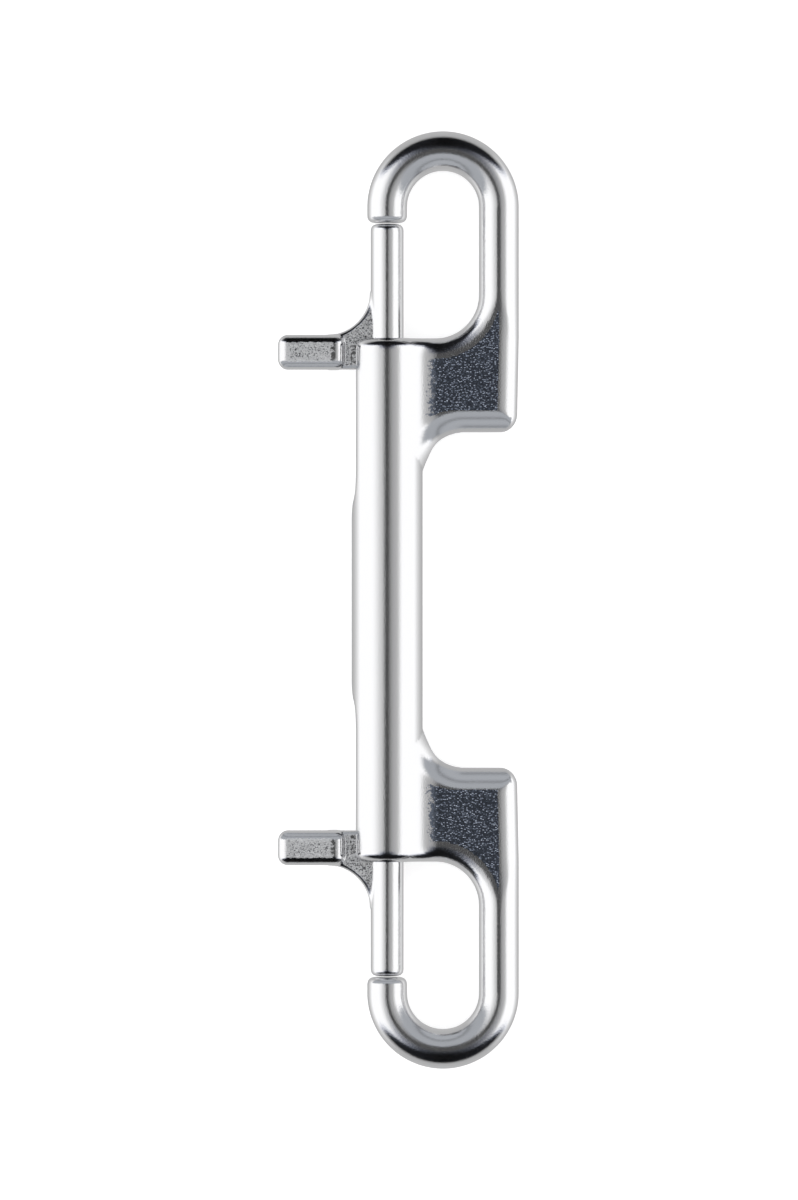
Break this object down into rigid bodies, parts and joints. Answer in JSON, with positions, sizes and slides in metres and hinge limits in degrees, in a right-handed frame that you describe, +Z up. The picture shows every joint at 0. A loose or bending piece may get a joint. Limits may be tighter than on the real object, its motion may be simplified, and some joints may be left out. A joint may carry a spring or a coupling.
{
  "type": "double ended bolt snap",
  "caption": "Double ended bolt snap: a slim cast steel frame with a round-bar hook at each end, each hook closed by a sprung sliding bolt with a thumb lever.",
  "frame": {"origin": "centre of the footprint on the surface that the snap lies on", "axes": "+Y along the barrel to the upper hook, +X to the hooks' backs, -X to the thumb levers, +Z up from the surface"},
  "size_m": [0.0308, 0.12, 0.0091],
  "materials": {
    "polished_casting": "tumble-polished cast stainless steel, with a fine sandy skin left in the hollows of the web",
    "polished_bolt": "polished stainless rod and satin cast thumb lever",
    "spring_wire": "drawn spring wire"
  },
  "bodies": {
    "frame": {"frame_casting": "polished_casting", "upper_spring": "spring_wire", "lower_spring": "spring_wire"},
    "upper_gate": {"upper_bolt": "polished_bolt"},
    "lower_gate": {"lower_bolt": "polished_bolt"}
  },
  "joints": [
    {"name": "upper_slide", "type": "slide", "parent": "frame", "child": "upper_gate", "axis": [0, -1, 0], "range_m": [0, 0.015], "stiffness_N_per_m": 690, "springref_m": -0.007, "deforming": ["upper_spring"]},
    {"name": "lower_slide", "type": "slide", "parent": "frame", "child": "lower_gate", "axis": [0, 1, 0], "range_m": [0, 0.015], "stiffness_N_per_m": 690, "springref_m": -0.007, "deforming": ["lower_spring"]}
  ]
}
